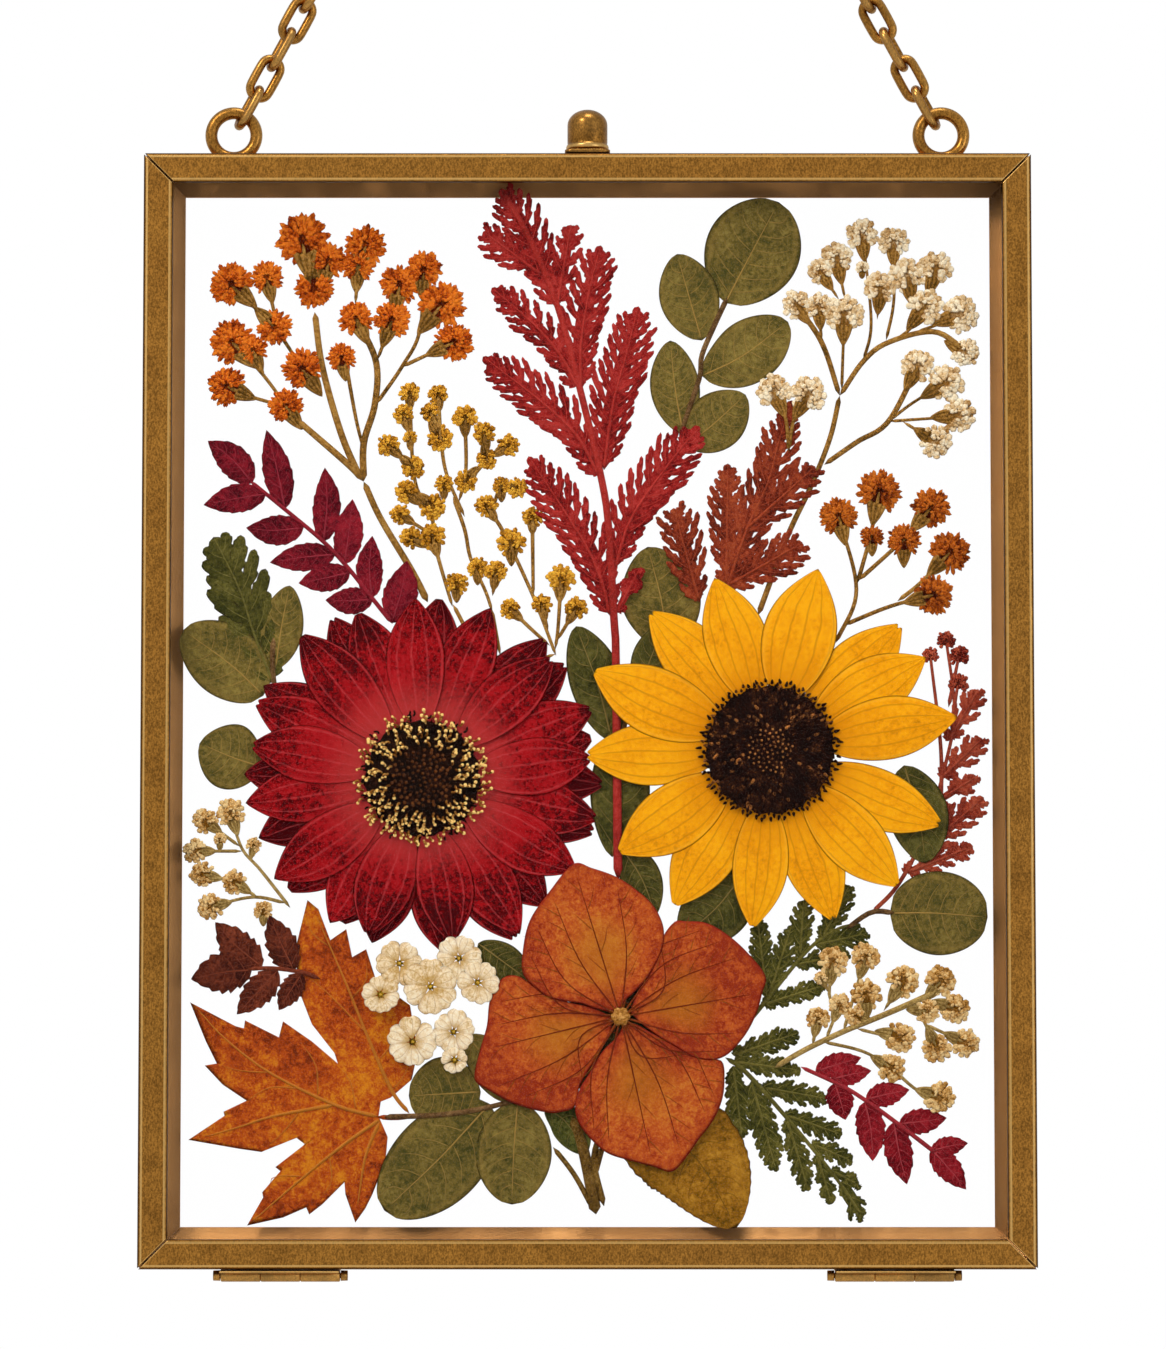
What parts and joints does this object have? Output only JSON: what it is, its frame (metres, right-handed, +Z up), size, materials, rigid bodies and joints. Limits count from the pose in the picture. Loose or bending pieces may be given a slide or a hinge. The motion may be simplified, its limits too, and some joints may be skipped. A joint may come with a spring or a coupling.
{
  "type": "pressed flower frame",
  "caption": "Pressed flowers and leaves between two panes of glass in a thin hinged brass frame, hung on a chain from one ring and closed by a lift-off cap.",
  "frame": {"origin": "the point inside the top of the hang ring where a nail bears", "axes": "+Z up along the frame's height, +X to the viewer's right, the flowers face -Y"},
  "size_m": [0.2032, 0.0116, 0.4228],
  "materials": {
    "aged_brass": "antique brass, brushed and patinated",
    "dark_brass": "dark patinated brass",
    "clear_glass": "clear",
    "crimson_petal": "dry pressed petal",
    "yellow_petal": "dry pressed petal",
    "burnt_orange_petal": "dry pressed petal",
    "orange_floret": "dry pressed floret",
    "gold_floret": "dry pressed floret",
    "cream_floret": "dry pressed floret",
    "rust_frond": "dry pressed frond",
    "maroon_leaf": "dry pressed leaf",
    "brown_leaf": "dry pressed leaf",
    "green_leaf": "dry pressed leaf",
    "maple_leaf": "dry pressed leaf",
    "seed_disc": "dry seed head",
    "dry_stem": "dry stem"
  },
  "bodies": {
    "back_half": {"back_bar_bottom": "dark_brass", "back_bar_left": "dark_brass", "back_bar_right": "dark_brass", "back_bar_top": "dark_brass", "back_glass": "clear_glass", "eyelet_left": "aged_brass", "eyelet_right": "aged_brass", "chain_left": "aged_brass", "chain_right": "aged_brass", "hinge_back_leaf_left": "aged_brass", "hinge_back_leaf_right": "aged_brass", "hinge_pin_left": "aged_brass", "hinge_pin_right": "aged_brass", "hang_ring": "aged_brass", "latch_post": "aged_brass", "gerbera_back_petals": "crimson_petal", "gerbera_front_petals": "crimson_petal", "crimson_fern": "crimson_petal", "sunflower_petals": "yellow_petal", "hydrangea_floret": "burnt_orange_petal", "orange_spray_left": "orange_floret", "orange_spray_right": "orange_floret", "goldenrod_spray": "gold_floret", "cream_spray_top": "cream_floret", "cream_bud_pair": "cream_floret", "cream_spray_left": "cream_floret", "cream_spray_low": "cream_floret", "white_florets": "cream_floret", "rust_fern": "rust_frond", "edge_fern": "rust_frond", "maroon_sprig_left": "maroon_leaf", "maroon_sprig_low": "maroon_leaf", "brown_sprig": "brown_leaf", "green_fern_low": "green_leaf", "green_fern_upper": "green_leaf", "green_sprig_left": "green_leaf", "eucalyptus_top": "green_leaf", "eucalyptus_low": "green_leaf", "eucalyptus_right": "green_leaf", "leaf_lower_left": "green_leaf", "leaf_above_gerbera": "green_leaf", "leaf_above_centre": "green_leaf", "leaf_right": "green_leaf", "leaf_under_sunflower": "green_leaf", "leaf_beside_hydrangea": "green_leaf", "leaves_between": "green_leaf", "olive_leaf": "green_leaf", "maple_leaf": "maple_leaf", "gerbera_disc": "seed_disc", "sunflower_disc": "seed_disc", "stem_bundle": "dry_stem"},
    "front_half": {"front_bar_bottom": "aged_brass", "front_bar_left": "aged_brass", "front_bar_right": "aged_brass", "front_bar_top": "aged_brass", "front_glass": "clear_glass", "latch_tab": "aged_brass", "hinge_front_leaf_left": "aged_brass", "hinge_front_leaf_right": "aged_brass"},
    "closing_cap": {"closing_cap": "aged_brass"}
  },
  "joints": [
    {"name": "front_hinge", "type": "hinge", "parent": "back_half", "child": "front_half", "pos_m": [0, -0.00365, -0.41903], "axis": [1, 0, 0], "range_deg": [0, 180]},
    {"name": "cap_lift", "type": "slide", "parent": "back_half", "child": "closing_cap", "axis": [0, 0, 1], "range_m": [0, 0.008]}
  ]
}
